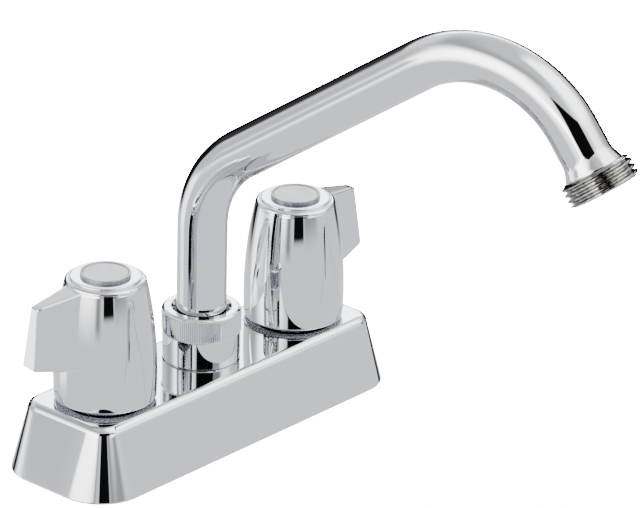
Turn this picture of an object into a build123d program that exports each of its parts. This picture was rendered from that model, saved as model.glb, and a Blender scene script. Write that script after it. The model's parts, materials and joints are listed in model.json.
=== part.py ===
from build123d import *
import os
from math import cos, radians, sin, sqrt

os.makedirs("parts", exist_ok=True)

# Two-handle deck faucet with a swivelling hose-thread spout.
# Origin on the spout's turning axis, at the underside of the deck cover. +Z up, -Y is the user's side.
# The hot valve stands at -X and the cold valve at +X.

# Shared clearances
running_gap = 0.05
thread_gap = 0.1
loose_gap = 0.3
overrun = 1.0
ring_sides = 8

# Deck cover: a cast shell with sloping sides
handle_centres = 101.6
deck_length = 162.4
deck_width = 56.0
deck_corner = 17.5
deck_top_length = 146.6
deck_top_width = 41.4
deck_top_corner = 8.0
deck_height = 26.7
deck_edge_round = 3.2
deck_wall = 2.5
deck_rib = 2.0
rib_drop = 5.0
rib_place_share = 0.5

# Deck gasket
gasket_height = 2.8

# Cast waterway: two valve chambers and a hub on one cross bar
valve_body_radius = 13.2
valve_neck_radius = 11.0
chamber_radius = 9.0
chamber_floor = 13.0
neck_rise = 7.5
hub_body_radius = 15.4
hub_neck_radius = 13.0
hub_neck_rise = 13.3
hub_bore_radius = 11.4
hub_floor = 9.0
cross_radius = 6.0
cross_bore = 3.6
cross_clearance = 0.6

# Inlet shanks and mounting nuts: half-inch straight pipe thread
shank_radius = 10.48
shank_bore = 6.4
shank_drop = 44.0
shank_socket = 3.2
supply_thread_length = 19.0
shank_groove_radius = 9.7
shank_groove_height = 1.5
sink_allowance = 12.0
mount_flange_radius = 21.0
mount_flange_height = 3.0
mount_hex_radius = 15.0
mount_hex_height = 9.0

# Seats and springs
seat_offset = 4.2
seat_radius = 3.3
seat_bore = 1.6
seat_height = 4.0
seat_rise = 1.2
port_ledge = 1.0
spring_wire = 0.35
spring_turns = 3
spring_wire_sides = 6

# Stem, its O-ring and its housing
stem_radius = 5.0
stem_neck_radius = 2.3
stem_disc_radius = 7.6
stem_disc_height = 2.5
spline_radius = 4.0
spline_flat = 1.0
spline_length = 13.0
housing_foot = 22.0
housing_flange_radius = 10.4
housing_flange_height = 1.6
housing_nose_radius = 7.4
housing_nose_rise = 9.0
stem_ring_wire = 0.55
stem_ring_drop = 2.6

# Bonnet nut
bonnet_radius = 13.4
bonnet_rise = 11.5
bonnet_edge = 0.6

# Handle: a hollow barrel that narrows upwards. Its heights count from its bottom edge.
handle_lift = 1.6
barrel_radius = 18.85
barrel_widest = 8.9
rim_radius = 14.9
rim_height = 45.0
rim_round = 0.9
disc_radius = 13.1
disc_rise = 0.8
barrel_wall = 2.6
barrel_edge = 0.5
barrel_lip_height = 2.0
barrel_lip_gap = 0.8
roof_height = 37.5
boss_radius = 6.4
boss_drop = 11.0
socket_roof = 37.9
screw_recess_radius = 5.4
screw_recess_depth = 4.6

# Blade: its reaches count from the handle's axis, its heights from the bottom edge
blade_root = 12.0
blade_root_low = 14.9
blade_root_high = 44.9
blade_root_low_width = 17.4
blade_root_high_width = 10.6
blade_tip_low_reach = 33.8
blade_tip_high_reach = 31.2
blade_tip_low = 18.5
blade_tip_high = 42.1
blade_tip_low_width = 7.8
blade_tip_high_width = 5.0
blade_edge = 0.5

# Flutes: narrow grooves under the rim that open into broad flats and run out above the bottom edge
flute_top = 41.3
flute_depth = 1.0
flute_top_radius = 1.2
flute_foot_radius = 30.0
flute_foot_clearance = 0.7
flute_turns_deg = (90, 180, 270)

# Handle headings at rest, from +X
hot_heading_deg = 170
cold_heading_deg = 0

# Index button and handle screw
button_radius = 9.25
button_height = 1.3
button_edge = 0.5
button_plug = 1.6
screw_head_radius = 3.9
screw_head_height = 2.4
screw_radius = 2.1
screw_length = 13.0
screw_slot_width = 1.0
screw_slot_depth = 1.1

# Spout nut
nut_skirt_radius = 14.4
nut_knurl_radius = 14.75
nut_skirt_height = 11.0
nut_knurl_height = 8.2
nut_crown_height = 1.0
nut_mouth_radius = 10.1
nut_mouth_chamfer = 0.9

# Spout tube: riser, bend, rising arm, bend, falling tail
tube_radius = 9.25
tube_wall = 1.2
riser_foot = 25.0
riser_top = 79.3
lower_bend = 38.2
arm_length = 88.3
arm_rise_deg = 34.7
upper_bend = 44.7
tail_fall_deg = 54.8
tail_length = 14.7
flare_radius = 10.8
flare_length = 4.5
spout_heading_deg = -80

# Ferrule on the spout's foot, its seals and the glide ring
ferrule_ledge = 2.0
collar_radius = 12.4
collar_height = 2.5
glide_height = 0.8
seal_wire = 0.6
seal_place_shares = (0.3, 0.7)

# Outlet fitting: three-quarter-inch garden hose thread
hose_thread_radius = 13.35
hose_thread_length = 8.4
hose_mouth_radius = 10.4
hose_mouth_depth = 5.0
spigot_wall = 1.3
spigot_length = 8.0

# Heights that follow from the sizes above
cover_underside = deck_height - deck_wall
cross_height = cover_underside - cross_clearance - cross_radius
socket_top = gasket_height + shank_socket
pocket_floor = socket_top + port_ledge
seat_top = chamber_floor + seat_rise
disc_top = seat_top + stem_disc_height
valve_neck_top = deck_height + neck_rise
housing_flange_top = valve_neck_top + housing_flange_height
housing_top = housing_flange_top + housing_nose_rise
bonnet_top = deck_height + bonnet_rise
handle_bottom = deck_height + handle_lift
handle_top = handle_bottom + rim_height + rim_round + disc_rise
stem_top = handle_bottom + socket_roof - thread_gap
recess_floor = handle_top - screw_recess_depth
hub_neck_top = deck_height + hub_neck_rise
collar_top = hub_neck_top + collar_height
glide_top = collar_top + glide_height
knurl_low = deck_height + nut_skirt_height
knurl_high = knurl_low + nut_knurl_height
nut_top = knurl_high + nut_crown_height


def rod(radius, low, high, x=0, y=0):
    """Upright cylinder between two heights."""
    return Pos(x, y, (low + high) / 2) * Cylinder(radius, high - low)


def turned(points):
    """Solid turned about Z from radius and height pairs."""
    return revolve(Plane.XZ * make_face(Polyline(points, close=True)), Axis.Z)


def o_ring(outer_radius, wire, height):
    """Ring lying flat at one height, its round section drawn with few sides."""
    section = Plane.XZ * Pos(outer_radius - wire, height) * RegularPolygon(wire, ring_sides)
    return revolve(section, Axis.Z)


def valve_x(side):
    return side * handle_centres / 2


def seat_x(side):
    return side * (handle_centres / 2 - seat_offset)


# Deck cover and gasket
def deck_section(height, inset):
    """Rounded rectangle of the cover at one height, drawn in by an inset."""
    share = height / deck_height
    length = deck_length + (deck_top_length - deck_length) * share - 2 * inset
    width = deck_width + (deck_top_width - deck_width) * share - 2 * inset
    corner = deck_corner + (deck_top_corner - deck_corner) * share - inset
    return Pos(0, 0, height) * RectangleRounded(length, width, corner)


def cross_bar(radius):
    """Round bar from valve to valve."""
    return Pos(0, 0, cross_height) * Rot(0, 90, 0) * Cylinder(radius, handle_centres)


def make_deck_cover():
    cover = loft([deck_section(0, 0), deck_section(deck_height, 0)])
    cover = fillet(cover.faces().sort_by(Axis.Z)[-1].edges(), deck_edge_round)
    cover -= loft([deck_section(0, deck_wall), deck_section(cover_underside, deck_wall)])
    rib_width = deck_top_width - 2 * deck_wall
    rib = Pos(0, 0, cover_underside - rib_drop / 2) * Box(deck_rib, rib_width, rib_drop)
    for side in (-1, 1):
        placed = Pos(valve_x(side) * rib_place_share, 0, 0) * rib
        cover += placed - cross_bar(cross_radius + loose_gap)
        neck_hole = valve_neck_radius + thread_gap
        cover -= rod(neck_hole, cover_underside - overrun, deck_height + overrun, valve_x(side))
    cover -= rod(hub_neck_radius + thread_gap, cover_underside - overrun, deck_height + overrun)
    return cover


def make_deck_gasket():
    inset = deck_wall + loose_gap
    pad = loft([deck_section(0, inset), deck_section(gasket_height, inset)])
    for side in (-1, 1):
        pad -= rod(shank_radius + loose_gap, -overrun, gasket_height + overrun, valve_x(side))
    return pad


# Waterway, inlets and their nuts
def make_waterway():
    body = cross_bar(cross_radius)
    body += rod(hub_body_radius, gasket_height, cover_underside)
    body += rod(hub_neck_radius, cover_underside, hub_neck_top)
    for side in (-1, 1):
        body += rod(valve_body_radius, gasket_height, cover_underside, valve_x(side))
        body += rod(valve_neck_radius, cover_underside, valve_neck_top, valve_x(side))
    body -= cross_bar(cross_bore)
    body -= rod(hub_bore_radius, hub_floor, hub_neck_top + overrun)
    for side in (-1, 1):
        body -= rod(chamber_radius, chamber_floor, valve_neck_top + overrun, valve_x(side))
        body -= rod(shank_radius + running_gap, gasket_height - overrun, socket_top, valve_x(side))
        body -= rod(seat_radius + thread_gap, pocket_floor, chamber_floor + overrun, seat_x(side))
        body -= rod(seat_bore, socket_top - overrun, chamber_floor, seat_x(side))
    return body


def make_shank(side):
    groove_low = supply_thread_length - shank_drop
    groove_high = groove_low + shank_groove_height
    shank = rod(shank_radius, -shank_drop, groove_low)
    shank += rod(shank_groove_radius, groove_low, groove_high)
    shank += rod(shank_radius, groove_high, socket_top)
    shank -= rod(shank_bore, -shank_drop - overrun, socket_top + overrun)
    return Pos(valve_x(side), 0, 0) * shank


def make_mounting_nut(side):
    flange_low = -sink_allowance - mount_flange_height
    nut = rod(mount_flange_radius, flange_low, -sink_allowance)
    nut += Pos(0, 0, flange_low) * extrude(RegularPolygon(mount_hex_radius, 6), -mount_hex_height)
    nut -= rod(shank_radius + thread_gap, flange_low - mount_hex_height - overrun, overrun)
    return Pos(valve_x(side), 0, 0) * nut


# Valve parts inside the chambers
def make_seat(side):
    low = seat_top - seat_height
    cup = rod(seat_radius, low, seat_top) - rod(seat_bore, low - overrun, seat_top + overrun)
    return Pos(seat_x(side), 0, 0) * cup


def make_seat_spring(side):
    climb = seat_top - seat_height - pocket_floor - 2 * spring_wire
    line = Helix(climb / spring_turns, climb, seat_radius - spring_wire)
    section = Plane(origin=line @ 0, z_dir=line % 0) * RegularPolygon(spring_wire, spring_wire_sides)
    coil = sweep(section, path=line, is_frenet=True)
    return Pos(seat_x(side), 0, pocket_floor + spring_wire) * coil


def make_stem_housing(side):
    outer = [
        (stem_radius + running_gap, housing_foot),
        (chamber_radius - thread_gap, housing_foot),
        (chamber_radius - thread_gap, valve_neck_top),
        (housing_flange_radius, valve_neck_top),
        (housing_flange_radius, housing_flange_top),
        (housing_nose_radius, housing_flange_top),
        (housing_nose_radius, housing_top),
        (stem_radius + running_gap, housing_top),
    ]
    return Pos(valve_x(side), 0, 0) * turned(outer)


def make_stem(side, heading_deg):
    groove_mid = housing_top - stem_ring_drop
    groove_half = stem_ring_wire + thread_gap
    groove_radius = stem_radius - 2 * stem_ring_wire - running_gap
    spline_low = stem_top - spline_length
    outline = [
        (0, seat_top),
        (stem_disc_radius, seat_top),
        (stem_disc_radius, disc_top),
        (stem_neck_radius, disc_top),
        (stem_neck_radius, housing_foot),
        (stem_radius, housing_foot),
        (stem_radius, groove_mid - groove_half),
        (groove_radius, groove_mid - groove_half),
        (groove_radius, groove_mid + groove_half),
        (stem_radius, groove_mid + groove_half),
        (stem_radius, spline_low),
        (spline_radius, spline_low),
        (spline_radius, stem_top),
        (0, stem_top),
    ]
    stem = turned(outline) - spline_cut(spline_low, stem_top + overrun, 0)
    stem -= rod(screw_radius + thread_gap, recess_floor - screw_length - overrun, stem_top + overrun)
    stem = Rot(0, 0, heading_deg) * stem
    stem -= rod(seat_bore, seat_top - overrun, disc_top + overrun, 0, -seat_offset)
    return Pos(valve_x(side), 0, 0) * stem


def spline_cut(low, high, gap):
    """Block that leaves a flat on the stem's top, or on a socket with a gap around it."""
    flat_x = spline_radius - spline_flat + gap
    block = Box(spline_radius, 2 * spline_radius + 2 * overrun, high - low)
    return Pos(flat_x + spline_radius / 2, 0, (low + high) / 2) * block


def make_stem_ring(side):
    return Pos(valve_x(side), 0, 0) * o_ring(stem_radius, stem_ring_wire, housing_top - stem_ring_drop)


def make_bonnet(side):
    outline = [
        (valve_neck_radius + thread_gap, deck_height),
        (bonnet_radius, deck_height),
        (bonnet_radius, bonnet_top - bonnet_edge),
        (bonnet_radius - bonnet_edge, bonnet_top),
        (housing_nose_radius + thread_gap, bonnet_top),
        (housing_nose_radius + thread_gap, housing_flange_top),
        (valve_neck_radius + thread_gap, housing_flange_top),
    ]
    return Pos(valve_x(side), 0, 0) * turned(outline)


# Handles, made with the axis on Z, the blade along +X and the bottom edge at zero
def barrel_at(height):
    """Radius of the barrel's arched outside at one height."""
    reach = rim_height - barrel_widest
    drop = barrel_radius - rim_radius
    arch = (reach ** 2 + drop ** 2) / (2 * drop)
    return barrel_radius - arch + sqrt(arch ** 2 - (height - barrel_widest) ** 2)


def barrel_line(low, high, inset):
    """Arched side of the barrel between two heights, drawn in by an inset."""
    middle = (low + high) / 2
    ends = [(barrel_at(height) - inset, height) for height in (low, middle, high)]
    return ThreePointArc(*ends)


def make_barrel():
    side = barrel_line(barrel_edge, rim_height, 0)
    rim_top = rim_height + rim_round
    shoulder_radius = rim_radius - rim_round
    shoulder = RadiusArc(side @ 1, (shoulder_radius, rim_top), -rim_round)
    lid = Polyline(
        (shoulder_radius, rim_top),
        (disc_radius, rim_top),
        (disc_radius, rim_top + disc_rise),
        (0, rim_top + disc_rise),
        (0, 0),
        (barrel_at(0) - barrel_edge, 0),
        side @ 0,
    )
    return revolve(Plane.XZ * make_face([side, shoulder, lid]), Axis.Z)


def make_blade():
    root_corners = [
        (blade_root, -blade_root_low_width / 2, blade_root_low),
        (blade_root, blade_root_low_width / 2, blade_root_low),
        (blade_root, blade_root_high_width / 2, blade_root_high),
        (blade_root, -blade_root_high_width / 2, blade_root_high),
    ]
    tip_corners = [
        (blade_tip_low_reach, -blade_tip_low_width / 2, blade_tip_low),
        (blade_tip_low_reach, blade_tip_low_width / 2, blade_tip_low),
        (blade_tip_high_reach, blade_tip_high_width / 2, blade_tip_high),
        (blade_tip_high_reach, -blade_tip_high_width / 2, blade_tip_high),
    ]
    root = make_face(Polyline(root_corners, close=True))
    tip = make_face(Polyline(tip_corners, close=True))
    blade = loft([root, tip], ruled=True)
    free_edges = blade.edges().filter_by(lambda edge: edge.center().X > blade_root + overrun)
    return fillet(free_edges, blade_edge)


def make_flute(turn_deg):
    top_x = barrel_at(flute_top) - flute_depth + flute_top_radius
    foot_x = barrel_at(0) + flute_foot_clearance + flute_foot_radius
    lean = Vector(top_x - foot_x, 0, flute_top)
    axis_plane = Plane(origin=(foot_x, 0, 0), x_dir=(0, 1, 0), z_dir=lean)
    upright = (Align.CENTER, Align.CENTER, Align.MIN)
    cutter = axis_plane * Cone(flute_foot_radius, flute_top_radius, lean.length, align=upright)
    cutter += Pos(top_x, 0, flute_top) * Sphere(flute_top_radius)
    return Rot(0, 0, turn_deg) * cutter


def make_cavity():
    side = barrel_line(barrel_lip_height, roof_height, barrel_wall)
    lip_radius = bonnet_radius + barrel_lip_gap
    rest = Polyline(
        side @ 1,
        (boss_radius, roof_height),
        (boss_radius, roof_height - boss_drop),
        (0, roof_height - boss_drop),
        (0, -overrun),
        (lip_radius, -overrun),
        (lip_radius, barrel_lip_height),
        side @ 0,
    )
    return revolve(Plane.XZ * make_face([side, rest]), Axis.Z)


def make_handle(side, heading_deg):
    top = handle_top - handle_bottom
    handle = make_barrel() + make_blade()
    for turn_deg in flute_turns_deg:
        handle -= make_flute(turn_deg)
    handle -= make_cavity()
    socket = rod(spline_radius + running_gap, roof_height - boss_drop - overrun, socket_roof)
    handle -= socket - spline_cut(0, top, running_gap)
    handle -= rod(screw_radius + loose_gap, socket_roof - overrun, top)
    handle -= rod(screw_recess_radius, top - screw_recess_depth, top + overrun)
    return Pos(valve_x(side), 0, handle_bottom) * Rot(0, 0, heading_deg) * handle


def make_handle_screw(side):
    screw = rod(screw_head_radius, recess_floor, recess_floor + screw_head_height)
    screw += rod(screw_radius, recess_floor - screw_length, recess_floor)
    slot_low = recess_floor + screw_head_height - screw_slot_depth
    for width, length in ((screw_slot_width, screw_head_radius), (screw_head_radius, screw_slot_width)):
        screw -= Pos(0, 0, slot_low + screw_slot_depth) * Box(width, length, 2 * screw_slot_depth)
    return Pos(valve_x(side), 0, 0) * screw


def make_index_button(side):
    outline = [
        (0, handle_top - button_plug),
        (screw_recess_radius - thread_gap, handle_top - button_plug),
        (screw_recess_radius - thread_gap, handle_top),
        (button_radius, handle_top),
        (button_radius, handle_top + button_height - button_edge),
        (button_radius - button_edge, handle_top + button_height),
        (0, handle_top + button_height),
    ]
    return Pos(valve_x(side), 0, 0) * turned(outline)


# Spout nut
def make_spout_nut():
    lip_low = glide_top + thread_gap
    return turned([
        (hub_neck_radius + thread_gap, deck_height),
        (nut_skirt_radius, deck_height),
        (nut_skirt_radius, knurl_low),
        (nut_knurl_radius, knurl_low),
        (nut_knurl_radius, knurl_high),
        (nut_knurl_radius - nut_crown_height, nut_top),
        (nut_mouth_radius + nut_mouth_chamfer, nut_top),
        (nut_mouth_radius, nut_top - nut_mouth_chamfer),
        (nut_mouth_radius, lip_low),
        (hub_neck_radius + thread_gap, lip_low),
    ])


# Spout, made in the XZ plane with the arm along +X and turned to its heading at the end
def spout_line():
    rise = radians(arm_rise_deg)
    fall = radians(tail_fall_deg)
    bend_start = Vector(0, 0, riser_top)
    arm_start = bend_start + Vector(1 - sin(rise), 0, cos(rise)) * lower_bend
    arm_end = arm_start + Vector(cos(rise), 0, sin(rise)) * arm_length
    tail_start = arm_end + Vector(sin(rise) + sin(fall), 0, cos(fall) - cos(rise)) * upper_bend
    tail_end = tail_start + Vector(cos(fall), 0, -sin(fall)) * tail_length
    riser = Line((0, 0, riser_foot), bend_start)
    first_bend = TangentArc(bend_start, arm_start, tangent=(0, 0, 1))
    arm = Line(arm_start, arm_end)
    second_bend = TangentArc(arm_end, tail_start, tangent=(cos(rise), 0, sin(rise)))
    tail = Line(tail_start, tail_end)
    return Wire([*riser.edges(), *first_bend.edges(), *arm.edges(), *second_bend.edges(), *tail.edges()])


def outlet_plane():
    """Plane across the tail's end, facing out of the spout."""
    fall = radians(tail_fall_deg)
    return Plane(origin=spout_line() @ 1, x_dir=(sin(fall), 0, cos(fall)), z_dir=(cos(fall), 0, -sin(fall)))


def make_spout_tube():
    line = spout_line()
    foot = Plane(origin=line @ 0, z_dir=(0, 0, 1))
    tube = sweep(foot * Circle(tube_radius), path=line)
    flare = turned([
        (0, -flare_length),
        (tube_radius, -flare_length),
        (flare_radius, 0),
        (0, 0),
    ])
    tube += outlet_plane() * flare
    tube -= sweep(foot * Circle(tube_radius - tube_wall), path=line)
    return Rot(0, 0, spout_heading_deg) * tube


def make_outlet_fitting():
    spigot_radius = tube_radius - tube_wall - running_gap
    bore = spigot_radius - spigot_wall
    fitting = turned([
        (bore, -spigot_length),
        (spigot_radius, -spigot_length),
        (spigot_radius, 0),
        (hose_thread_radius, 0),
        (hose_thread_radius, hose_thread_length),
        (hose_mouth_radius, hose_thread_length),
        (hose_mouth_radius, hose_thread_length - hose_mouth_depth),
        (bore, hose_thread_length - hose_mouth_depth),
    ])
    return Rot(0, 0, spout_heading_deg) * (outlet_plane() * fitting)


def seal_heights():
    foot = riser_foot - ferrule_ledge
    return [foot + (hub_neck_top - foot) * share for share in seal_place_shares]


def make_spout_ferrule():
    foot = riser_foot - ferrule_ledge
    outer = hub_bore_radius - running_gap
    groove_half = seal_wire + thread_gap
    outline = [(tube_radius - tube_wall, foot), (outer, foot)]
    for height in seal_heights():
        floor = hub_bore_radius - 2 * seal_wire - 2 * running_gap
        outline += [(outer, height - groove_half), (floor, height - groove_half)]
        outline += [(floor, height + groove_half), (outer, height + groove_half)]
    outline += [
        (outer, hub_neck_top),
        (collar_radius, hub_neck_top),
        (collar_radius, collar_top),
        (tube_radius + running_gap, collar_top),
        (tube_radius + running_gap, riser_foot),
        (tube_radius - tube_wall, riser_foot),
    ]
    return turned(outline)


def make_seal_rings():
    rings = [o_ring(hub_bore_radius - running_gap, seal_wire, height) for height in seal_heights()]
    return Compound(children=rings)


def make_glide_ring():
    outer = rod(collar_radius, collar_top, glide_top)
    return outer - rod(tube_radius + thread_gap, collar_top - overrun, glide_top + overrun)


parts = {
    "deck_cover": make_deck_cover(),
    "deck_gasket": make_deck_gasket(),
    "waterway_body": make_waterway(),
    "spout_nut": make_spout_nut(),
    "spout_tube": make_spout_tube(),
    "outlet_fitting": make_outlet_fitting(),
    "spout_ferrule": make_spout_ferrule(),
    "spout_seal_rings": make_seal_rings(),
    "spout_glide_ring": make_glide_ring(),
}
for name, side, heading_deg in (("hot", -1, hot_heading_deg), ("cold", 1, cold_heading_deg)):
    parts[name + "_inlet_shank"] = make_shank(side)
    parts[name + "_mounting_nut"] = make_mounting_nut(side)
    parts[name + "_valve_seat"] = make_seat(side)
    parts[name + "_seat_spring"] = make_seat_spring(side)
    parts[name + "_stem_housing"] = make_stem_housing(side)
    parts[name + "_stem"] = make_stem(side, heading_deg)
    parts[name + "_stem_ring"] = make_stem_ring(side)
    parts[name + "_bonnet_nut"] = make_bonnet(side)
    parts[name + "_handle"] = make_handle(side, heading_deg)
    parts[name + "_handle_screw"] = make_handle_screw(side)
    parts[name + "_index_button"] = make_index_button(side)

for name, solid in parts.items():
    export_step(solid, f"parts/{name}.step")
    box = solid.bounding_box()
    print(name, len(solid.solids()), [round(value, 2) for value in (*box.min, *box.max)])
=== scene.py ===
import json
import math

import bpy
from mathutils import Matrix, Vector


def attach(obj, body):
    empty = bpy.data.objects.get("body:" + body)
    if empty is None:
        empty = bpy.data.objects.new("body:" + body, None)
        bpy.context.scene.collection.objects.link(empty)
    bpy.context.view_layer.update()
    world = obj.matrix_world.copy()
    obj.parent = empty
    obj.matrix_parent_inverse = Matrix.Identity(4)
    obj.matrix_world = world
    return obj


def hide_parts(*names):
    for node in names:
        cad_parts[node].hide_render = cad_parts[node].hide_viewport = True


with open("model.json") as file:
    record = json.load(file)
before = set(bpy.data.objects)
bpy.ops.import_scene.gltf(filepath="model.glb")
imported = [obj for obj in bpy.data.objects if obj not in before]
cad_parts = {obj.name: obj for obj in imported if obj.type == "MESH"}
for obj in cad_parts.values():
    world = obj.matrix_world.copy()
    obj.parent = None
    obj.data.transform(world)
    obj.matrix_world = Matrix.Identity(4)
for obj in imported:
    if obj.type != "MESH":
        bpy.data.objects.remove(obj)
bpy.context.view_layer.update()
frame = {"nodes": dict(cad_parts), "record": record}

MM = 0.001
TAU = math.tau
QUARTER = math.pi / 2

# Sizes in mm and headings in degrees, the same as the solids have
HANDLE_CENTRES = 101.6
DECK_LENGTH = 162.4
DECK_WIDTH = 56.0
DECK_CORNER = 17.5
DECK_TOP_LENGTH = 146.6
DECK_TOP_WIDTH = 41.4
DECK_TOP_CORNER = 8.0
DECK_HEIGHT = 26.7
DECK_EDGE_ROUND = 3.2
DECK_WALL = 2.5
HANDLE_BOTTOM = 28.3
HOT_HEADING = 170
COLD_HEADING = 0
SPOUT_HEADING = -80

# Bottoms of the nuts stand this height, just off the cover, so that no faces fall together
NUT_FOOT = 26.72


# Mesh helpers
def finish_mesh(name, verts, faces, body, node, material, sharp=35):
    """Object from points in mm, carried by a body and, where a node is given, shown in its place."""
    mesh = bpy.data.meshes.new(name)
    mesh.from_pydata([tuple(c * MM for c in v) for v in verts], [], faces)
    mesh.validate()
    mesh.shade_smooth()
    mesh.set_sharp_from_angle(angle=math.radians(sharp))
    mesh.materials.append(material)
    obj = bpy.data.objects.new(name, mesh)
    bpy.context.scene.collection.objects.link(obj)
    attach(obj, body)
    if node:
        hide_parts(node)
    return obj


def ring_faces(rows, count, closed=False):
    """Quads between neighbouring rings of equal count."""
    faces = []
    last = rows if closed else rows - 1
    for i in range(last):
        a, b = i * count, ((i + 1) % rows) * count
        for j in range(count):
            k = (j + 1) % count
            faces.append((a + j, a + k, b + k, b + j))
    return faces


def turned_over(faces):
    """The same faces, looking the other way."""
    return [tuple(reversed(face)) for face in faces]


def rounded(points, steps=5):
    """Outline from (r, z, round) corners, each corner turned into a small arc."""
    out = []
    n = len(points)
    for i, (r, z, size) in enumerate(points):
        here = Vector((r, z))
        before = Vector(points[(i - 1) % n][:2]) - here
        after = Vector(points[(i + 1) % n][:2]) - here
        if size <= 0 or before.length < 1e-6 or after.length < 1e-6:
            out.append((r, z))
            continue
        angle = before.angle(after)
        reach = min(size / math.tan(angle / 2), before.length * 0.45, after.length * 0.45)
        start = here + before.normalized() * reach
        end = here + after.normalized() * reach
        for k in range(steps + 1):
            t = k / steps
            p = start * (1 - t) ** 2 + here * 2 * t * (1 - t) + end * t ** 2
            out.append((p.x, p.y))
    return out


def lathe(name, profile, body, node, material, x, segments):
    """Closed profile of (r, z) turned about the upright line through x."""
    verts = []
    for r, z in profile:
        for j in range(segments):
            a = TAU * j / segments
            verts.append((x + r * math.cos(a), r * math.sin(a), z))
    return finish_mesh(name, verts, ring_faces(len(profile), segments, True), body, node, material)


# Materials
def principled(name):
    material = bpy.data.materials.new(name)
    material.use_nodes = True
    nodes = material.node_tree.nodes
    return material, nodes, material.node_tree.links, nodes["Principled BSDF"]


def noise(nodes, links, scale, detail=4.0, stretch=(1, 1, 1)):
    place = nodes.new("ShaderNodeTexCoord")
    mapping = nodes.new("ShaderNodeMapping")
    mapping.inputs["Scale"].default_value = stretch
    texture = nodes.new("ShaderNodeTexNoise")
    texture.inputs["Scale"].default_value = scale
    texture.inputs["Detail"].default_value = detail
    links.new(place.outputs["Object"], mapping.inputs["Vector"])
    links.new(mapping.outputs["Vector"], texture.inputs["Vector"])
    return texture


def ranged(nodes, links, source, low, high):
    """Noise spread over a range of values."""
    span = nodes.new("ShaderNodeMapRange")
    span.inputs["From Min"].default_value = 0.3
    span.inputs["From Max"].default_value = 0.7
    span.inputs["To Min"].default_value = low
    span.inputs["To Max"].default_value = high
    links.new(source, span.inputs["Value"])
    return span.outputs["Result"]


def tinted(nodes, links, source, dark, light):
    """Noise turned into a colour between two tints."""
    ramp = nodes.new("ShaderNodeValToRGB")
    ramp.color_ramp.elements[0].position = 0.35
    ramp.color_ramp.elements[0].color = (*dark, 1)
    ramp.color_ramp.elements[1].position = 0.65
    ramp.color_ramp.elements[1].color = (*light, 1)
    links.new(source, ramp.inputs["Fac"])
    return ramp.outputs["Color"]


BUMP_DISTANCE = 0.0002


def surface(name, dark, light, metallic, rough, grain, bump, bump_scale, stretch=(1, 1, 1)):
    """Material with a slow change of tint, a finer change of roughness and a bump."""
    material, nodes, links, shader = principled(name)
    slow = noise(nodes, links, grain)
    fine = noise(nodes, links, bump_scale, 6.0, stretch)
    links.new(tinted(nodes, links, slow.outputs["Fac"], dark, light), shader.inputs["Base Color"])
    links.new(ranged(nodes, links, fine.outputs["Fac"], *rough), shader.inputs["Roughness"])
    shader.inputs["Metallic"].default_value = metallic
    relief = nodes.new("ShaderNodeBump")
    relief.inputs["Strength"].default_value = bump
    relief.inputs["Distance"].default_value = BUMP_DISTANCE
    links.new(fine.outputs["Fac"], relief.inputs["Height"])
    links.new(relief.outputs["Normal"], shader.inputs["Normal"])
    return material


# Name, dark tint, light tint, metallic, range of roughness, grain, bump, bump scale and, where brushed, stretch
chrome = surface("polished_chrome", (0.545, 0.555, 0.575), (0.565, 0.572, 0.585), 1.0, (0.015, 0.035), 18, 0.006, 60)
nickel = surface("dull_nickel", (0.26, 0.25, 0.23), (0.36, 0.35, 0.33), 1.0, (0.08, 0.13), 90, 0.01, 300)
brass = surface("turned_brass", (0.48, 0.33, 0.13), (0.68, 0.50, 0.23), 1.0, (0.25, 0.45), 90, 0.3, 700, (1, 1, 6))
steel = surface("stainless", (0.42, 0.42, 0.43), (0.55, 0.55, 0.56), 1.0, (0.25, 0.42), 120, 0.2, 900, (1, 1, 8))
# Painted light: a pale matt colour under each handle, which stands in for the lit underside in the shaded gap above
# the cover
painted_light_matt = surface("painted_light_underside", (0.86, 0.87, 0.95), (0.90, 0.91, 0.97), 0.0, (0.5, 0.6), 60, 0.01, 500)
foam = surface("gasket_foam", (0.018, 0.018, 0.02), (0.04, 0.04, 0.042), 0.0, (0.7, 0.95), 140, 0.7, 1500)
rubber = surface("seal_rubber", (0.012, 0.012, 0.013), (0.025, 0.025, 0.026), 0.0, (0.4, 0.6), 200, 0.2, 900)
nylon = surface("natural_nylon", (0.70, 0.68, 0.62), (0.80, 0.79, 0.74), 0.0, (0.35, 0.55), 150, 0.2, 700)
nut_plastic = surface("moulded_nut", (0.66, 0.66, 0.63), (0.76, 0.76, 0.73), 0.0, (0.4, 0.6), 120, 0.3, 800)
frosted = surface("frosted_button", (0.10, 0.10, 0.13), (0.15, 0.15, 0.185), 0.0, (0.24, 0.34), 220, 0.003, 150)

frosted_shader = frosted.node_tree.nodes["Principled BSDF"]
frosted_shader.inputs["IOR"].default_value = 1.49
frosted_shader.inputs["Coat Weight"].default_value = 0.6
frosted_shader.inputs["Coat Roughness"].default_value = 0.08

slots = {
    "chrome": chrome, "nickel": nickel, "brass": brass, "steel": steel, "gasket_rubber": foam,
    "seal_rubber": rubber, "nylon": nylon, "nut_plastic": nut_plastic,
    "hot_button": frosted, "cold_button": frosted,
}
for part in frame["record"]["subparts"]:
    node = frame["nodes"][part["node"]]
    node.data.materials.clear()
    node.data.materials.append(slots[part["material_slot"]])


# Deck cover: rounded rectangles stacked up, with a rounded top edge
DECK_SLOPE = math.radians(15.9)
DECK_CORNER_STEPS = 24
DECK_EDGE_STEPS = 12
DECK_UNDERSIDE = 24.2


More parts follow.
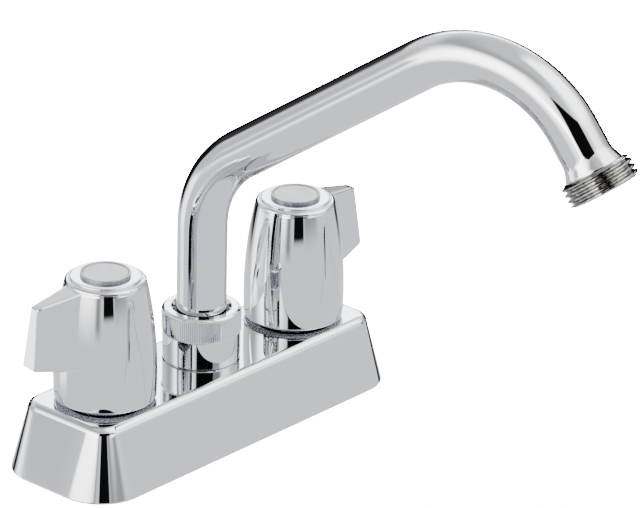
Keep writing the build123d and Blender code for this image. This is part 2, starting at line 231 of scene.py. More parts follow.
def deck_ring(z, inset):
    """Outline of the cover at one height, drawn in by an inset."""
    share = z / DECK_HEIGHT
    half_x = (DECK_LENGTH + (DECK_TOP_LENGTH - DECK_LENGTH) * share) / 2 - inset
    half_y = (DECK_WIDTH + (DECK_TOP_WIDTH - DECK_WIDTH) * share) / 2 - inset
    corner = DECK_CORNER + (DECK_TOP_CORNER - DECK_CORNER) * share - inset
    ring = []
    for sx, sy, start in ((1, 1, 0), (-1, 1, 90), (-1, -1, 180), (1, -1, 270)):
        mid_x, mid_y = sx * (half_x - corner), sy * (half_y - corner)
        for k in range(DECK_CORNER_STEPS + 1):
            a = math.radians(start + 90 * k / DECK_CORNER_STEPS)
            ring.append((mid_x + corner * math.cos(a), mid_y + corner * math.sin(a), z))
    return ring


def make_deck_cover():
    arc_z = DECK_HEIGHT - DECK_EDGE_ROUND
    to_slope = DECK_EDGE_ROUND * math.cos(DECK_SLOPE)
    arc_out = -(arc_z + DECK_EDGE_ROUND * math.sin(DECK_SLOPE)) * math.tan(DECK_SLOPE) - to_slope
    foot = ((0, DECK_WALL), (0, 0.5), (0, 0.3), (0.12, 0.08), (0.4, 0))
    rings = [deck_ring(z, inset) for z, inset in foot]
    rings += [deck_ring(z, 0) for z in (0.8, 5, 10, 15, 20, 23.4)]
    for k in range(DECK_EDGE_STEPS + 1):
        a = DECK_SLOPE + (QUARTER - DECK_SLOPE) * k / DECK_EDGE_STEPS
        z = arc_z + DECK_EDGE_ROUND * math.sin(a)
        out = arc_out + DECK_EDGE_ROUND * math.cos(a)
        rings.append(deck_ring(z, -z * math.tan(DECK_SLOPE) - out))
    top_inset = -DECK_HEIGHT * math.tan(DECK_SLOPE) - arc_out
    rings += [deck_ring(DECK_HEIGHT, top_inset + more) for more in (0.15, 0.6)]
    count = len(rings[0])
    verts = [p for ring in rings for p in ring]
    faces = ring_faces(len(rings), count)
    top = (len(rings) - 1) * count
    faces.append(tuple(range(top, top + count)))

    inner = [deck_ring(z, DECK_WALL) for z in (0, 12, DECK_UNDERSIDE)]
    base = len(verts)
    verts += [p for ring in inner for p in ring]
    for face in turned_over(ring_faces(len(inner), count)):
        faces.append(tuple(base + i for i in face))
    roof = base + 2 * count
    faces.append(tuple(reversed(range(roof, roof + count))))
    finish_mesh("deck_cover_skin", verts, faces, "base", "deck_cover", chrome)


make_deck_cover()


# Handles: heights count from the bottom edge, and angles from the blade
RIM_HEIGHT = 45.0
RIM_RADIUS = 14.9
BARREL_RADIUS = 18.85
BARREL_WIDEST = 8.9
BARREL_WALL = 2.6
BARREL_SEGMENTS = 900
BARREL_ROW_STEP = 0.28
LIP_RADIUS = 14.2
LIP_HEIGHT = 2.0
ROOF_HEIGHT = 37.5
BOSS_RADIUS = 6.4
BOSS_FOOT = 26.5
SOCKET_RADIUS = 4.1
SOCKET_ROOF = 36.9
POCKET_RADIUS = 5.4
POCKET_FLOOR = 42.1
FLUTE_TURNS = (90, 180, 270)
FLUTE_TOP = 41.3
FLUTE_DEPTH = 1.1
FLUTE_TOP_RADIUS = 1.2
FLUTE_FOOT_RADIUS = 30.0
FLUTE_FOOT_SHIFT = 1.0
FLUTE_HALF_ANGLE = 0.9
FLUTE_BLEND = 0.05
LINE_DEPTH = 0.62
LINE_HALF_WIDTH = 0.8


def barrel_at(z):
    """Radius of the barrel's arched outside at one height."""
    reach = RIM_HEIGHT - BARREL_WIDEST
    drop = BARREL_RADIUS - RIM_RADIUS
    arch = (reach ** 2 + drop ** 2) / (2 * drop)
    return BARREL_RADIUS - arch + math.sqrt(arch ** 2 - (z - BARREL_WIDEST) ** 2)


def soft_min(a, b, k):
    """The smaller of two values, eased over k where they meet."""
    h = max(k - abs(a - b), 0) / k
    return min(a, b) - h * h * k / 4


# Each flute is a leaning cone, wide at its foot, with a ball at its top. The shift sets how close the cone's
# foot comes to the axis, and with it how far down the flute reaches: it runs out below the barrel's middle.
FLUTE_TOP_X = barrel_at(FLUTE_TOP) - FLUTE_DEPTH + FLUTE_TOP_RADIUS
FLUTE_FOOT_X = barrel_at(0) - FLUTE_FOOT_SHIFT + FLUTE_FOOT_RADIUS
FLUTE_LENGTH = math.hypot(FLUTE_TOP_X - FLUTE_FOOT_X, FLUTE_TOP)
FLUTE_LEAN = ((FLUTE_TOP_X - FLUTE_FOOT_X) / FLUTE_LENGTH, FLUTE_TOP / FLUTE_LENGTH)
FLUTE_TAPER = (FLUTE_TOP_RADIUS - FLUTE_FOOT_RADIUS) / FLUTE_LENGTH


def lower_root(a, b, c):
    """Smaller root of a quadratic, or None where it has none."""
    under = b * b - 4 * a * c
    return (-b - math.sqrt(under)) / (2 * a) if under > 0 else None


def flute_wall(z, away):
    """Distance from the barrel's axis to a flute's wall, at an angle away from its middle."""
    c = math.cos(away)
    lean_x, lean_z = FLUTE_LEAN
    along_rate = c * lean_x
    along_start = z * lean_z - FLUTE_FOOT_X * lean_x
    size = FLUTE_FOOT_RADIUS + FLUTE_TAPER * along_start
    wall = lower_root(
        1 - along_rate ** 2 * (1 + FLUTE_TAPER ** 2),
        -2 * (c * FLUTE_FOOT_X + along_rate * along_start + size * FLUTE_TAPER * along_rate),
        FLUTE_FOOT_X ** 2 + z ** 2 - along_start ** 2 - size ** 2,
    )
    if wall is not None and along_rate * wall + along_start <= FLUTE_LENGTH:
        return wall
    ball = FLUTE_TOP_X ** 2 + (z - FLUTE_TOP) ** 2 - FLUTE_TOP_RADIUS ** 2
    return lower_root(1, -2 * c * FLUTE_TOP_X, ball)


def panel_line(z, away):
    """Depth of the fine grooves that border a flute, opening downward from its top."""
    if z > FLUTE_TOP:
        return 0.0
    down = (FLUTE_TOP - z) / FLUTE_TOP
    spread = math.radians(2.5 + 15.0 * down)
    off = abs(abs(away) - spread) * BARREL_RADIUS
    strength = min(1.0, down * 20) * (1 - down) ** 0.5
    return LINE_DEPTH * strength * max(0.0, 1 - (off / LINE_HALF_WIDTH) ** 2) ** 1.5


def fluted(radius, z, a):
    """Barrel radius at height z and angle a, with the three flutes taken out."""
    for turn in FLUTE_TURNS:
        away = (a - math.radians(turn) + math.pi) % TAU - math.pi
        if abs(away) > FLUTE_HALF_ANGLE:
            continue
        wall = flute_wall(z, away)
        if wall is not None and wall > 0:
            radius = soft_min(radius, wall, FLUTE_BLEND)
        radius -= panel_line(z, away)
    return radius


def barrel_rows():
    """Rings of the barrel from inside its roof, round its foot and up over the rim: radius, height, fluted."""
    rows = [(barrel_at(z) - BARREL_WALL, z, False) for z in (ROOF_HEIGHT, 30, 20, 10, LIP_HEIGHT)]
    rows += [(LIP_RADIUS, LIP_HEIGHT, False), (LIP_RADIUS, 0.2, False), (LIP_RADIUS + 0.2, 0.0, False)]
    rows += [(barrel_at(0) - 0.5, 0, False), (barrel_at(0) - 0.15, 0.15, False)]
    z = 0.5
    while z < RIM_HEIGHT - 0.8:
        rows.append((barrel_at(z), z, True))
        z += BARREL_ROW_STEP
    arc_steps = 12
    for k in range(arc_steps + 1):
        a = QUARTER * k / arc_steps
        rows.append((RIM_RADIUS - 1.4 + 1.45 * math.cos(a), RIM_HEIGHT - 0.5 + 1.4 * math.sin(a), False))
    step = rounded([
        (13.5, 45.9, 0), (13.0, 45.6, 0.2), (12.9, 46.7, 0.7),
        (POCKET_RADIUS, 46.7, 0.2), (POCKET_RADIUS, POCKET_FLOOR, 0), (2.4, POCKET_FLOOR, 0),
    ])
    return rows + [(r, z, False) for r, z in step[1:]]


def make_handle(name, body, heading, x):
    segments = BARREL_SEGMENTS
    turn = math.radians(heading)
    verts = []

    def add_ring(r, z, cut):
        for j in range(segments):
            a = TAU * j / segments
            radius = fluted(r, z, a) if cut else r
            verts.append((x + radius * math.cos(a + turn), radius * math.sin(a + turn), HANDLE_BOTTOM + z))

    rows = barrel_rows()
    for row in rows:
        add_ring(*row)
    faces = ring_faces(len(rows), segments)
    roof = len(verts)
    boss = [(BOSS_RADIUS, ROOF_HEIGHT), (BOSS_RADIUS, BOSS_FOOT)]
    boss += [(SOCKET_RADIUS, BOSS_FOOT), (SOCKET_RADIUS, SOCKET_ROOF)]
    for r, z in boss:
        add_ring(r, z, False)
    for face in turned_over(ring_faces(len(boss), segments)):
        faces.append(tuple(roof + i for i in face))
    for j in range(segments):
        k = (j + 1) % segments
        faces.append((j, k, roof + k, roof + j))
    finish_mesh(name + "_barrel", verts, faces, body, name, chrome, 28)
    make_blade(name + "_blade", body, turn, x)


# Blade: its reaches count from the handle's axis, its widths are full widths
BLADE_ROOT = 12.0
BLADE_LOW_REACH = 33.8
BLADE_HIGH_REACH = 31.2
BLADE_ROOT_LOW = 14.9
BLADE_ROOT_HIGH = 44.9
BLADE_TIP_LOW = 18.5
BLADE_TIP_HIGH = 42.1
BLADE_ROOT_LOW_WIDTH = 17.4
BLADE_ROOT_HIGH_WIDTH = 10.6
BLADE_TIP_LOW_WIDTH = 7.8
BLADE_TIP_HIGH_WIDTH = 5.0
BLADE_EDGE = 0.7
BLADE_CORNER_STEPS = 6
BLADE_SIDE_STEPS = 5
BLADE_END_STEPS = 7
BLADE_RINGS = 28
BLADE_RING_STEP = 0.7
# The end face leans back with height, and the lean grows from the root over this length
BLADE_LEAN_LENGTH = 21.7


def blade_section(reach, shrink):
    """Rounded four-sided section of the blade at one reach from the axis."""
    t_low = (reach - BLADE_ROOT) / (BLADE_LOW_REACH - BLADE_ROOT)
    t_high = (reach - BLADE_ROOT) / (BLADE_HIGH_REACH - BLADE_ROOT)
    z_low = BLADE_ROOT_LOW + (BLADE_TIP_LOW - BLADE_ROOT_LOW) * t_low + shrink
    z_high = BLADE_ROOT_HIGH + (BLADE_TIP_HIGH - BLADE_ROOT_HIGH) * t_high - shrink
    w_low = (BLADE_ROOT_LOW_WIDTH + (BLADE_TIP_LOW_WIDTH - BLADE_ROOT_LOW_WIDTH) * t_low) / 2 - shrink
    w_high = (BLADE_ROOT_HIGH_WIDTH + (BLADE_TIP_HIGH_WIDTH - BLADE_ROOT_HIGH_WIDTH) * t_high) / 2 - shrink
    corners = [(-w_low, z_low, 0.7), (w_low, z_low, 0.7), (w_high, z_high, 0.9), (-w_high, z_high, 0.9)]
    base = rounded(corners, BLADE_CORNER_STEPS)
    out = []
    for i, (y, z) in enumerate(base):
        out.append((y, z))
        if i % (BLADE_CORNER_STEPS + 1) == BLADE_CORNER_STEPS:
            y2, z2 = base[(i + 1) % len(base)]
            for k in range(1, BLADE_SIDE_STEPS):
                out.append((y + (y2 - y) * k / BLADE_SIDE_STEPS, z + (z2 - z) * k / BLADE_SIDE_STEPS))
    return out


def make_blade(name, body, turn, x):
    rings = []
    for k in range(BLADE_RINGS):
        reach = BLADE_ROOT + BLADE_RING_STEP * k
        rings.append([(reach, y, z) for y, z in blade_section(reach, 0)])
    end_start = BLADE_LOW_REACH - BLADE_EDGE
    end = []
    for k in range(1, BLADE_END_STEPS + 1):
        a = QUARTER * k / BLADE_END_STEPS
        end.append((BLADE_EDGE * math.sin(a), BLADE_EDGE * (1 - math.cos(a))))
    end += [(BLADE_EDGE, 0.85), (BLADE_EDGE, 1.2)]
    for out, shrink in end:
        rings.append([(end_start + out, y, z) for y, z in blade_section(end_start + out, shrink)])
    verts = []
    c, s = math.cos(turn), math.sin(turn)
    for ring in rings:
        for reach, y, z in ring:
            up = max(0, z - BLADE_TIP_LOW) / (BLADE_TIP_HIGH - BLADE_TIP_LOW)
            lean = (BLADE_LOW_REACH - BLADE_HIGH_REACH) * up * (reach - BLADE_ROOT) / BLADE_LEAN_LENGTH
            px = reach - lean
            verts.append((x + px * c - y * s, px * s + y * c, HANDLE_BOTTOM + z))
    count = len(rings[0])
    faces = ring_faces(len(rings), count)
    last = (len(rings) - 1) * count
    faces.append(tuple(range(last, last + count)))
    faces.append(tuple(reversed(range(count))))
    finish_mesh(name, verts, faces, body, None, chrome, 60)


make_handle("hot_handle", "hot_valve", HOT_HEADING, -HANDLE_CENTRES / 2)
make_handle("cold_handle", "cold_valve", COLD_HEADING, HANDLE_CENTRES / 2)


# Buttons, foot rings of the handles, bonnet nuts and threaded inlets: heights count from the sink
AXIS_RADIUS = 0.01
BUTTON_RADIUS = 9.25
BUTTON_FOOT = 75.02
BUTTON_TOP = 76.3
PLUG_RADIUS = 5.3
PLUG_FOOT = 73.4
FOOT_RING_INNER = 14.4
FOOT_RING_OUTER = 18.0
FOOT_RING_LOW = HANDLE_BOTTOM - 0.03
FOOT_RING_HIGH = HANDLE_BOTTOM - 0.01
BONNET_RADIUS = 13.4
BONNET_BORE = 11.1
BONNET_MOUTH = 7.5
BONNET_TOP = 38.2
BONNET_LEDGE = 35.8


def make_button(name, body, x):
    """Plug, rim and shallow dished face of a button."""
    profile = rounded([
        (AXIS_RADIUS, PLUG_FOOT, 0), (PLUG_RADIUS, PLUG_FOOT, 0), (PLUG_RADIUS, BUTTON_FOOT, 0),
        (BUTTON_RADIUS, BUTTON_FOOT, 0.1), (BUTTON_RADIUS, BUTTON_TOP, 0.35), (8.5, BUTTON_TOP - 0.02, 0.3),
        (8.1, BUTTON_TOP - 0.35, 0.3), (AXIS_RADIUS, BUTTON_TOP - 0.25, 0),
    ])
    lathe(name + "_lens", profile, body, name, frosted, x, 128)


def make_underside(name, body, x):
    """Thin pale ring just under a handle, for looks alone: its pale colour is painted light, which keeps the
    handle's reflection in the cover light where the gap would be shaded.
    """
    profile = [
        (FOOT_RING_INNER, FOOT_RING_LOW), (FOOT_RING_OUTER, FOOT_RING_LOW),
        (FOOT_RING_OUTER, FOOT_RING_HIGH), (FOOT_RING_INNER, FOOT_RING_HIGH),
    ]
    lathe(name + "_foot_face", profile, body, None, painted_light_matt, x, 96)


def make_bonnet(name, x):
    profile = rounded([
        (BONNET_BORE, NUT_FOOT, 0), (BONNET_RADIUS - 0.1, NUT_FOOT, 0.1), (BONNET_RADIUS, 27.1, 0.2),
        (BONNET_RADIUS, BONNET_TOP - 0.6, 0.3), (BONNET_RADIUS - 0.6, BONNET_TOP, 0.3),
        (BONNET_MOUTH, BONNET_TOP, 0.1), (BONNET_MOUTH, BONNET_LEDGE, 0), (BONNET_BORE, BONNET_LEDGE, 0),
    ])
    lathe(name + "_turned", profile, "base", name, chrome, x, 192)


def thread_wave(turns):
    """Height of a V thread with flat crests and roots, from 0 to 1."""
    rise = abs(turns % 1.0 - 0.5) * 2
    return min(1.0, max(0.0, (0.86 - rise) / 0.62))


INLET_PITCH = 1.814
INLET_RADIUS = 10.48
INLET_BORE = 6.4
INLET_FOOT = -44.0
INLET_SEGMENTS = 72


def make_shank(name, x):
    rows = [(INLET_BORE, 6.0, False), (9.4, 6.0, False)]
    z = 5.4
    while z > INLET_FOOT + 0.6:
        rows.append((INLET_RADIUS, z, True))
        z -= 0.25
    rows += [(9.5, INLET_FOOT, False), (INLET_BORE, INLET_FOOT, False)]
    verts = []
    for r, z, threaded in rows:
        for j in range(INLET_SEGMENTS):
            a = TAU * j / INLET_SEGMENTS
            depth = 1 - thread_wave(z / INLET_PITCH - j / INLET_SEGMENTS) if threaded else 0
            verts.append((x + (r - depth) * math.cos(a), (r - depth) * math.sin(a), z))
    faces = turned_over(ring_faces(len(rows), INLET_SEGMENTS, True))
    finish_mesh(name + "_threaded", verts, faces, "base", name, brass, 50)


for label, x in (("hot", -HANDLE_CENTRES / 2), ("cold", HANDLE_CENTRES / 2)):
    make_button(label + "_index_button", label + "_valve", x)
    make_underside(label + "_handle", label + "_valve", x)
    make_bonnet(label + "_bonnet_nut", x)
    make_shank(label + "_inlet_shank", x)


# Spout nut with its knurled band
NUT_RADIUS = 14.4
NUT_BORE = 13.1
NUT_MOUTH = 10.1
NUT_TOP = 46.9
NUT_LEDGE = 43.4
KNURL_RIBS = 112
KNURL_POINTS_PER_RIB = 6
KNURL_RADIUS = 14.75
KNURL_DEPTH = 0.42
KNURL_STEP = 0.25
# Heights of the band's rings, and the share of its full size that each has
KNURL_ROWS = (
    (37.75, 0.3), (38.0, 0.85), (38.3, 1), (40, 1), (42, 1),
    (44, 1), (45.3, 1), (45.7, 0.85), (46.0, 0.4), (46.2, 0.1),
)


def make_spout_nut():
    segments = KNURL_RIBS * KNURL_POINTS_PER_RIB
    skirt = rounded([
        (NUT_BORE, NUT_FOOT, 0), (13.75, NUT_FOOT, 0), (NUT_RADIUS, 27.3, 0.1),
        (NUT_RADIUS, 37.4, 0.15), (NUT_RADIUS + 0.05, 37.6, 0),
    ])
    crown = rounded([
        (14.3, NUT_TOP - 0.45, 0), (13.6, NUT_TOP, 0.5), (11.2, NUT_TOP, 0.3),
        (NUT_MOUTH, NUT_TOP - 0.9, 0.3), (NUT_MOUTH, NUT_LEDGE, 0), (NUT_BORE, NUT_LEDGE, 0),
    ])
    rows = [(r, z, 0) for r, z in skirt]
    rows += [(KNURL_RADIUS - (1 - share) * KNURL_STEP, z, share) for z, share in KNURL_ROWS]
    rows += [(r, z, 0) for r, z in crown]
    verts = []
    for r, z, share in rows:
        for j in range(segments):
            a = TAU * j / segments
            phase = (j % KNURL_POINTS_PER_RIB) / KNURL_POINTS_PER_RIB
            dip = KNURL_DEPTH * share * (0.5 - 0.5 * math.cos(TAU * phase))
            verts.append(((r - dip) * math.cos(a), (r - dip) * math.sin(a), z))
    faces = ring_faces(len(rows), segments, True)
    finish_mesh("spout_nut_knurled", verts, faces, "base", "spout_nut", chrome, 40)


make_spout_nut()


# Spout tube, swept along its bent line
TUBE_RADIUS = 9.25
TUBE_MOUTH_RADIUS = 8.05
TUBE_SEGMENTS = 160
RISER_FOOT = 25.0
RISER_TOP = 79.3
LOWER_BEND = 38.2
LOWER_BEND_STEPS = 40
ARM_LENGTH = 88.3
ARM_STEPS = 12
UPPER_BEND = 44.7
UPPER_BEND_STEPS = 60
TAIL_LENGTH = 14.7
FLARE_START = 9.6
FLARE_LENGTH = 4.6
FLARE_GROWTH = 1.55
RISE = math.radians(34.7)
FALL = math.radians(54.8)


def spout_points():
    """Centre points, directions and radii along the spout, in its own upright plane."""
    out = [(0.0, z, QUARTER, TUBE_RADIUS) for z in (RISER_FOOT, 30, 40, 50, 60, 70, RISER_TOP)]
    for k in range(1, LOWER_BEND_STEPS + 1):
        a = QUARTER - (QUARTER - RISE) * k / LOWER_BEND_STEPS
        out.append((LOWER_BEND * (1 - math.sin(a)), RISER_TOP + LOWER_BEND * math.cos(a), a, TUBE_RADIUS))
    s, z = out[-1][:2]
    for k in range(1, ARM_STEPS + 1):
        d = ARM_LENGTH * k / ARM_STEPS
        out.append((s + d * math.cos(RISE), z + d * math.sin(RISE), RISE, TUBE_RADIUS))
    s, z = out[-1][:2]
    mid_s, mid_z = s + UPPER_BEND * math.sin(RISE), z - UPPER_BEND * math.cos(RISE)
    for k in range(1, UPPER_BEND_STEPS + 1):
        a = RISE - (RISE + FALL) * k / UPPER_BEND_STEPS
        out.append((mid_s - UPPER_BEND * math.sin(a), mid_z + UPPER_BEND * math.cos(a), a, TUBE_RADIUS))
    s, z = out[-1][:2]
    for d in (2, 5, 8, 9.4, 10.2, 11, 11.8, 12.6, 13.4, 14.1, 14.55, TAIL_LENGTH):
        grown = max(0.0, d - FLARE_START) / FLARE_LENGTH
        radius = TUBE_RADIUS + FLARE_GROWTH * min(1.0, grown) ** 1.35
        out.append((s + d * math.cos(FALL), z - d * math.sin(FALL), -FALL, radius))
    end = (s + TAIL_LENGTH * math.cos(FALL), z - TAIL_LENGTH * math.sin(FALL), -FALL, TUBE_MOUTH_RADIUS)
    return out + [end]


def make_spout_tube():
    head = math.radians(SPOUT_HEADING)
    line = spout_points()
    verts = []
    for s, z, a, r in line:
        for j in range(TUBE_SEGMENTS):
            b = TAU * j / TUBE_SEGMENTS
            side, over = r * math.cos(b), r * math.sin(b)
            along = s - over * math.sin(a)
            px = along * math.cos(head) + side * math.sin(head)
            py = along * math.sin(head) - side * math.cos(head)
            verts.append((px, py, z + over * math.cos(a)))
    faces = ring_faces(len(line), TUBE_SEGMENTS)
    faces.append(tuple(reversed(range(TUBE_SEGMENTS))))
    finish_mesh("spout_tube_bent", verts, faces, "spout", "spout_tube", chrome, 40)


make_spout_tube()


# Outlet fitting with its hose thread: distances count outward from the tube's end
HOSE_PITCH = 2.209
HOSE_ROOT_RADIUS = 12.05
HOSE_THREAD_DEPTH = 1.3
HOSE_MOUTH_RADIUS = 10.4
HOSE_END = 8.4
HOSE_SEGMENTS = 240
OUTLET_BORE = 6.7
SPIGOT_RADIUS = 8.0
SPIGOT_FOOT = -8


def make_outlet():
    s, z = spout_points()[-1][:2]
    head = math.radians(SPOUT_HEADING)
    out = Vector((math.cos(FALL) * math.cos(head), math.cos(FALL) * math.sin(head), -math.sin(FALL)))
    side = Vector((math.sin(head), -math.cos(head), 0))
    over = out.cross(side)
    origin = Vector((s * math.cos(head), s * math.sin(head), z))
    rows = [(OUTLET_BORE, SPIGOT_FOOT, False), (SPIGOT_RADIUS, SPIGOT_FOOT, False), (SPIGOT_RADIUS, 0.05, False)]
    rows += [(11.0, 0.05, False), (11.7, 0.1, False), (12.0, 0.4, False)]
    d = 0.6
    while d < 8.0:
        rows.append((HOSE_ROOT_RADIUS, d, True))
        d += 0.1
    rows += [(12.2, HOSE_END - 0.15, False), (11.9, HOSE_END, False), (10.6, HOSE_END, False)]
    rows += [(HOSE_MOUTH_RADIUS, HOSE_END - 0.2, False), (HOSE_MOUTH_RADIUS, 3.4, False), (OUTLET_BORE, 3.4, False)]
    verts = []
    for r, d, threaded in rows:
        run_out = max(0.0, min(1.0, (d - 0.45) / 0.5, (8.2 - d) / 0.35))
        for j in range(HOSE_SEGMENTS):
            b = TAU * j / HOSE_SEGMENTS
            radius = r
            if threaded:
                wave = thread_wave(d / HOSE_PITCH - j / HOSE_SEGMENTS)
                radius += HOSE_THREAD_DEPTH * wave * run_out
            verts.append(tuple(origin + out * d + side * (radius * math.cos(b)) + over * (radius * math.sin(b))))
    faces = turned_over(ring_faces(len(rows), HOSE_SEGMENTS, True))
    finish_mesh("outlet_thread", verts, faces, "spout", "outlet_fitting", nickel, 45)


make_outlet()


# Strength of the light with which floor and surround are plain white to the camera
WHITE_STRENGTH = 30


def make_floor():
    """Floor that the camera sees as white, and that takes light as pale grey."""
    bpy.ops.mesh.primitive_circle_add(vertices=128, radius=0.75, fill_type="NGON", location=(0.06, 0, -0.0002))
    floor = bpy.context.object
    floor.name = "floor"
    material, nodes, links, shader = principled("pale_floor")
    slow = noise(nodes, links, 3)
    tint = tinted(nodes, links, slow.outputs["Fac"], (0.40, 0.405, 0.415), (0.42, 0.425, 0.43))
    links.new(tint, shader.inputs["Base Color"])
    shader.inputs["Roughness"].default_value = 0.9
    shader.inputs["Specular IOR Level"].default_value = 0.0
    white = nodes.new("ShaderNodeEmission")
    white.inputs["Strength"].default_value = WHITE_STRENGTH
    ray = nodes.new("ShaderNodeLightPath")
    choice = nodes.new("ShaderNodeMixShader")
    links.new(ray.outputs["Is Camera Ray"], choice.inputs[0])
    links.new(shader.outputs[0], choice.inputs[1])
    links.new(white.outputs[0], choice.inputs[2])
    links.new(choice.outputs[0], nodes["Material Output"].inputs[0])
    floor.data.materials.append(material)
    floor.visible_glossy = False


make_floor()

# Light all round, as soft cards on a grey surround. Angles are in degrees and count from the camera's side.
# Brightness is the share of white, in percent, that polished chrome shows when it reflects the card.
# A later card lies over the earlier ones.
CAMERA_AZIMUTH = -48.89
SURROUND = (76, (0.925, 0.945, 1.0))
CARDS = [
    # centre azimuth, half width, softness, centre elevation, half height, softness, brightness, tint
    (0, 360, 1, 95, 40, 22, 74, (0.94, 0.96, 1.0)),
    (-70, 70, 25, 50, 12, 10, 66, (0.95, 0.965, 1.0)),
    (92, 48, 26, 56, 27, 12, 91, (0.98, 0.99, 1.0)),
    (-56, 30, 24, 17, 19, 13, 94, (1.0, 0.995, 0.98)),
    (-110, 20, 12, 10, 18, 10, 72, (0.955, 0.97, 1.0)),
    (180, 60, 14, 27, 13, 6, 80, (0.94, 0.96, 1.0)),
    (180, 22, 6, 23.5, 5.5, 3, 92, (0.9, 0.95, 1.0)),
    (148, 22, 6, 11, 8, 4, 20, (0.90, 0.93, 1.0)),
    (-148, 22, 6, 11, 8, 4, 20, (0.90, 0.93, 1.0)),
    (42, 18, 6, 13, 18, 5, 60, (0.97, 0.98, 1.0)),
    (80, 14, 7, 18, 14, 8, 88, (1.0, 1.0, 0.99)),
    (108, 7, 5, 8, 10, 5, 52, (0.96, 0.97, 1.0)),
    (130, 15, 6, 8, 13, 6, 66, (0.96, 0.97, 1.0)),
    (150, 5, 3, -5, 14, 4, 34, (0.93, 0.95, 1.0)),
    (-175, 49, 4, -5, 13, 3, 6, (0.82, 0.88, 1.0)),
    (-15, 6, 5, -2, 8, 3, 56, (1.0, 1.0, 0.99)),
    (-104, 12, 5, -15, 9, 4, 89, (0.95, 0.97, 1.0)),
    (49, 13, 7, 6.5, 4.5, 1.5, 89, (1.0, 1.0, 0.99)),
    (-27, 12, 4, 7.5, 4.5, 1.5, 95, (1.0, 0.995, 0.98)),
    (-84, 9, 5, 2, 6, 3, 73, (0.95, 0.955, 1.0)),
    (10.5, 12.5, 1.2, 15, 20.5, 1.5, 4, (0.95, 0.97, 1.0)),
    (13, 25, 2, 21, 15, 1.5, 4, (0.95, 0.97, 1.0)),
]
# The renderer's tone curve: the value shown, of 255, and the light that gives it
TONE = [
    (0, 0.0), (19, 0.01), (32, 0.02), (59, 0.05), (87, 0.1), (117, 0.18), (145, 0.3), (164, 0.45), (177, 0.6),
    (188, 0.8), (196.5, 1.0), (205, 1.3), (211, 1.6), (218, 2.0), (223, 2.5), (227, 3.0), (233, 4.0),
    (237, 5.0), (243, 7.0), (248, 10.0), (254, 15.0),
]
CHROME_SHARE = 0.56


def card_light(percent, tint):
    """Light of a card that polished chrome shows at this percentage of white."""
    shown = percent * 2.55
    for (low, dark), (high, bright) in zip(TONE, TONE[1:]):
        if shown <= high:
            light = dark + (bright - dark) * (shown - low) / (high - low)
            return tuple(light / CHROME_SHARE * c for c in tint)
    return tuple(TONE[-1][1] / CHROME_SHARE * c for c in tint)


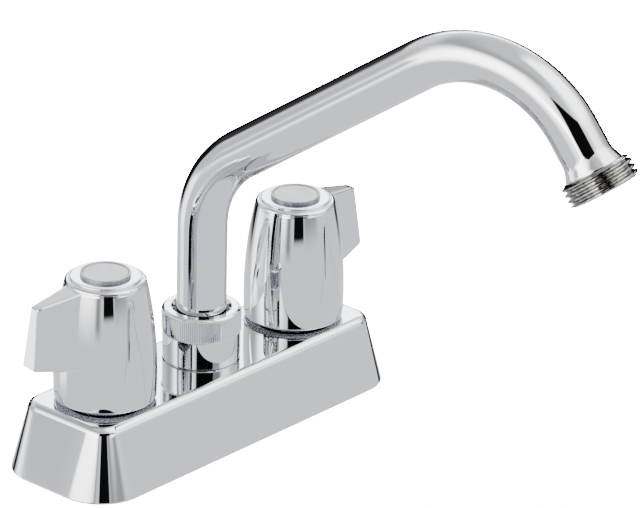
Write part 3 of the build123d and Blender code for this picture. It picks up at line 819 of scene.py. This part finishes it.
def make_world():
    world = bpy.data.worlds.new("studio")
    bpy.context.scene.world = world
    world.use_nodes = True
    nodes, links = world.node_tree.nodes, world.node_tree.links
    nodes.clear()

    def math_node(operation, *values):
        node = nodes.new("ShaderNodeMath")
        node.operation = operation
        for socket, value in zip(node.inputs, values):
            if isinstance(value, (int, float)):
                socket.default_value = value
            else:
                links.new(value, socket)
        return node.outputs[0]

    def fade(value, half, soft):
        """1 where value is within half, 0 beyond it, eased over soft on both sides of the edge.

        Half and soft are in degrees, value is in radians.
        """
        node = nodes.new("ShaderNodeMapRange")
        node.interpolation_type = "SMOOTHSTEP"
        node.inputs["From Min"].default_value = math.radians(half - soft)
        node.inputs["From Max"].default_value = math.radians(half + soft)
        node.inputs["To Min"].default_value = 1.0
        node.inputs["To Max"].default_value = 0.0
        links.new(value, node.inputs["Value"])
        return node.outputs["Result"]

    direction = nodes.new("ShaderNodeTexCoord").outputs["Generated"]
    split = nodes.new("ShaderNodeSeparateXYZ")
    links.new(direction, split.inputs[0])
    azimuth = math_node("ARCTAN2", split.outputs[0], math_node("MULTIPLY", split.outputs[1], -1.0))
    elevation = math_node("ARCSINE", split.outputs[2])
    colour = nodes.new("ShaderNodeRGB").outputs[0]
    colour.default_value = (*card_light(*SURROUND), 1)
    for mid, half, soft, mid_el, half_el, soft_el, level, tint in CARDS:
        turned = math_node("SUBTRACT", azimuth, math.radians(CAMERA_AZIMUTH + mid))
        # just under 1, so that the arc cosine stays within its range
        away = math_node("ARCCOSINE", math_node("MULTIPLY", math_node("COSINE", turned), 0.99999))
        lift = math_node("ABSOLUTE", math_node("SUBTRACT", elevation, math.radians(mid_el)))
        mix = nodes.new("ShaderNodeMix")
        mix.data_type = "RGBA"
        links.new(math_node("MULTIPLY", fade(away, half, soft), fade(lift, half_el, soft_el)), mix.inputs[0])
        links.new(colour, mix.inputs[6])
        mix.inputs[7].default_value = (*card_light(level, tint), 1)
        colour = mix.outputs[2]
    light = nodes.new("ShaderNodeBackground")
    links.new(colour, light.inputs["Color"])
    plain = nodes.new("ShaderNodeBackground")
    plain.inputs["Color"].default_value = (1.0, 1.0, 1.0, 1)
    plain.inputs["Strength"].default_value = WHITE_STRENGTH
    ray = nodes.new("ShaderNodeLightPath")
    choice = nodes.new("ShaderNodeMixShader")
    links.new(ray.outputs["Is Camera Ray"], choice.inputs[0])
    links.new(light.outputs[0], choice.inputs[1])
    links.new(plain.outputs[0], choice.inputs[2])
    result = nodes.new("ShaderNodeOutputWorld")
    links.new(choice.outputs[0], result.inputs[0])


make_world()


# Camera, fitted to the photograph's viewpoint: the focal length is in pixels of a picture 640 wide
CAMERA_ELEVATION = 23.42
CAMERA_ROLL = 1.33
CAMERA_DISTANCE = 1801.62
CAMERA_FOCAL = 4928.32
PICTURE_WIDTH = 640
SENSOR_WIDTH = 36
TARGET_HEIGHT = 60.0
TARGET_RIGHT = 43.0
TARGET_UP = 7.71


def make_camera():
    azimuth, elevation, roll = (math.radians(v) for v in (CAMERA_AZIMUTH, CAMERA_ELEVATION, CAMERA_ROLL))
    level = math.cos(elevation)
    back = Vector((math.sin(azimuth) * level, -math.cos(azimuth) * level, math.sin(elevation)))
    right = Vector((math.cos(azimuth), math.sin(azimuth), 0))
    up = back.cross(right)
    turned_right = right * math.cos(roll) + up * math.sin(roll)
    turned_up = up * math.cos(roll) - right * math.sin(roll)
    target = Vector((0, 0, TARGET_HEIGHT)) + right * TARGET_RIGHT + up * TARGET_UP
    place = (target + back * CAMERA_DISTANCE) * MM
    data = bpy.data.cameras.new("camera")
    data.lens = CAMERA_FOCAL / PICTURE_WIDTH * SENSOR_WIDTH
    data.sensor_width = SENSOR_WIDTH
    data.clip_start = 0.05
    data.clip_end = 50
    camera = bpy.data.objects.new("camera", data)
    axes = Matrix((turned_right, turned_up, back)).transposed().to_4x4()
    camera.matrix_world = Matrix.Translation(place) @ axes
    bpy.context.scene.collection.objects.link(camera)
    bpy.context.scene.camera = camera


make_camera()
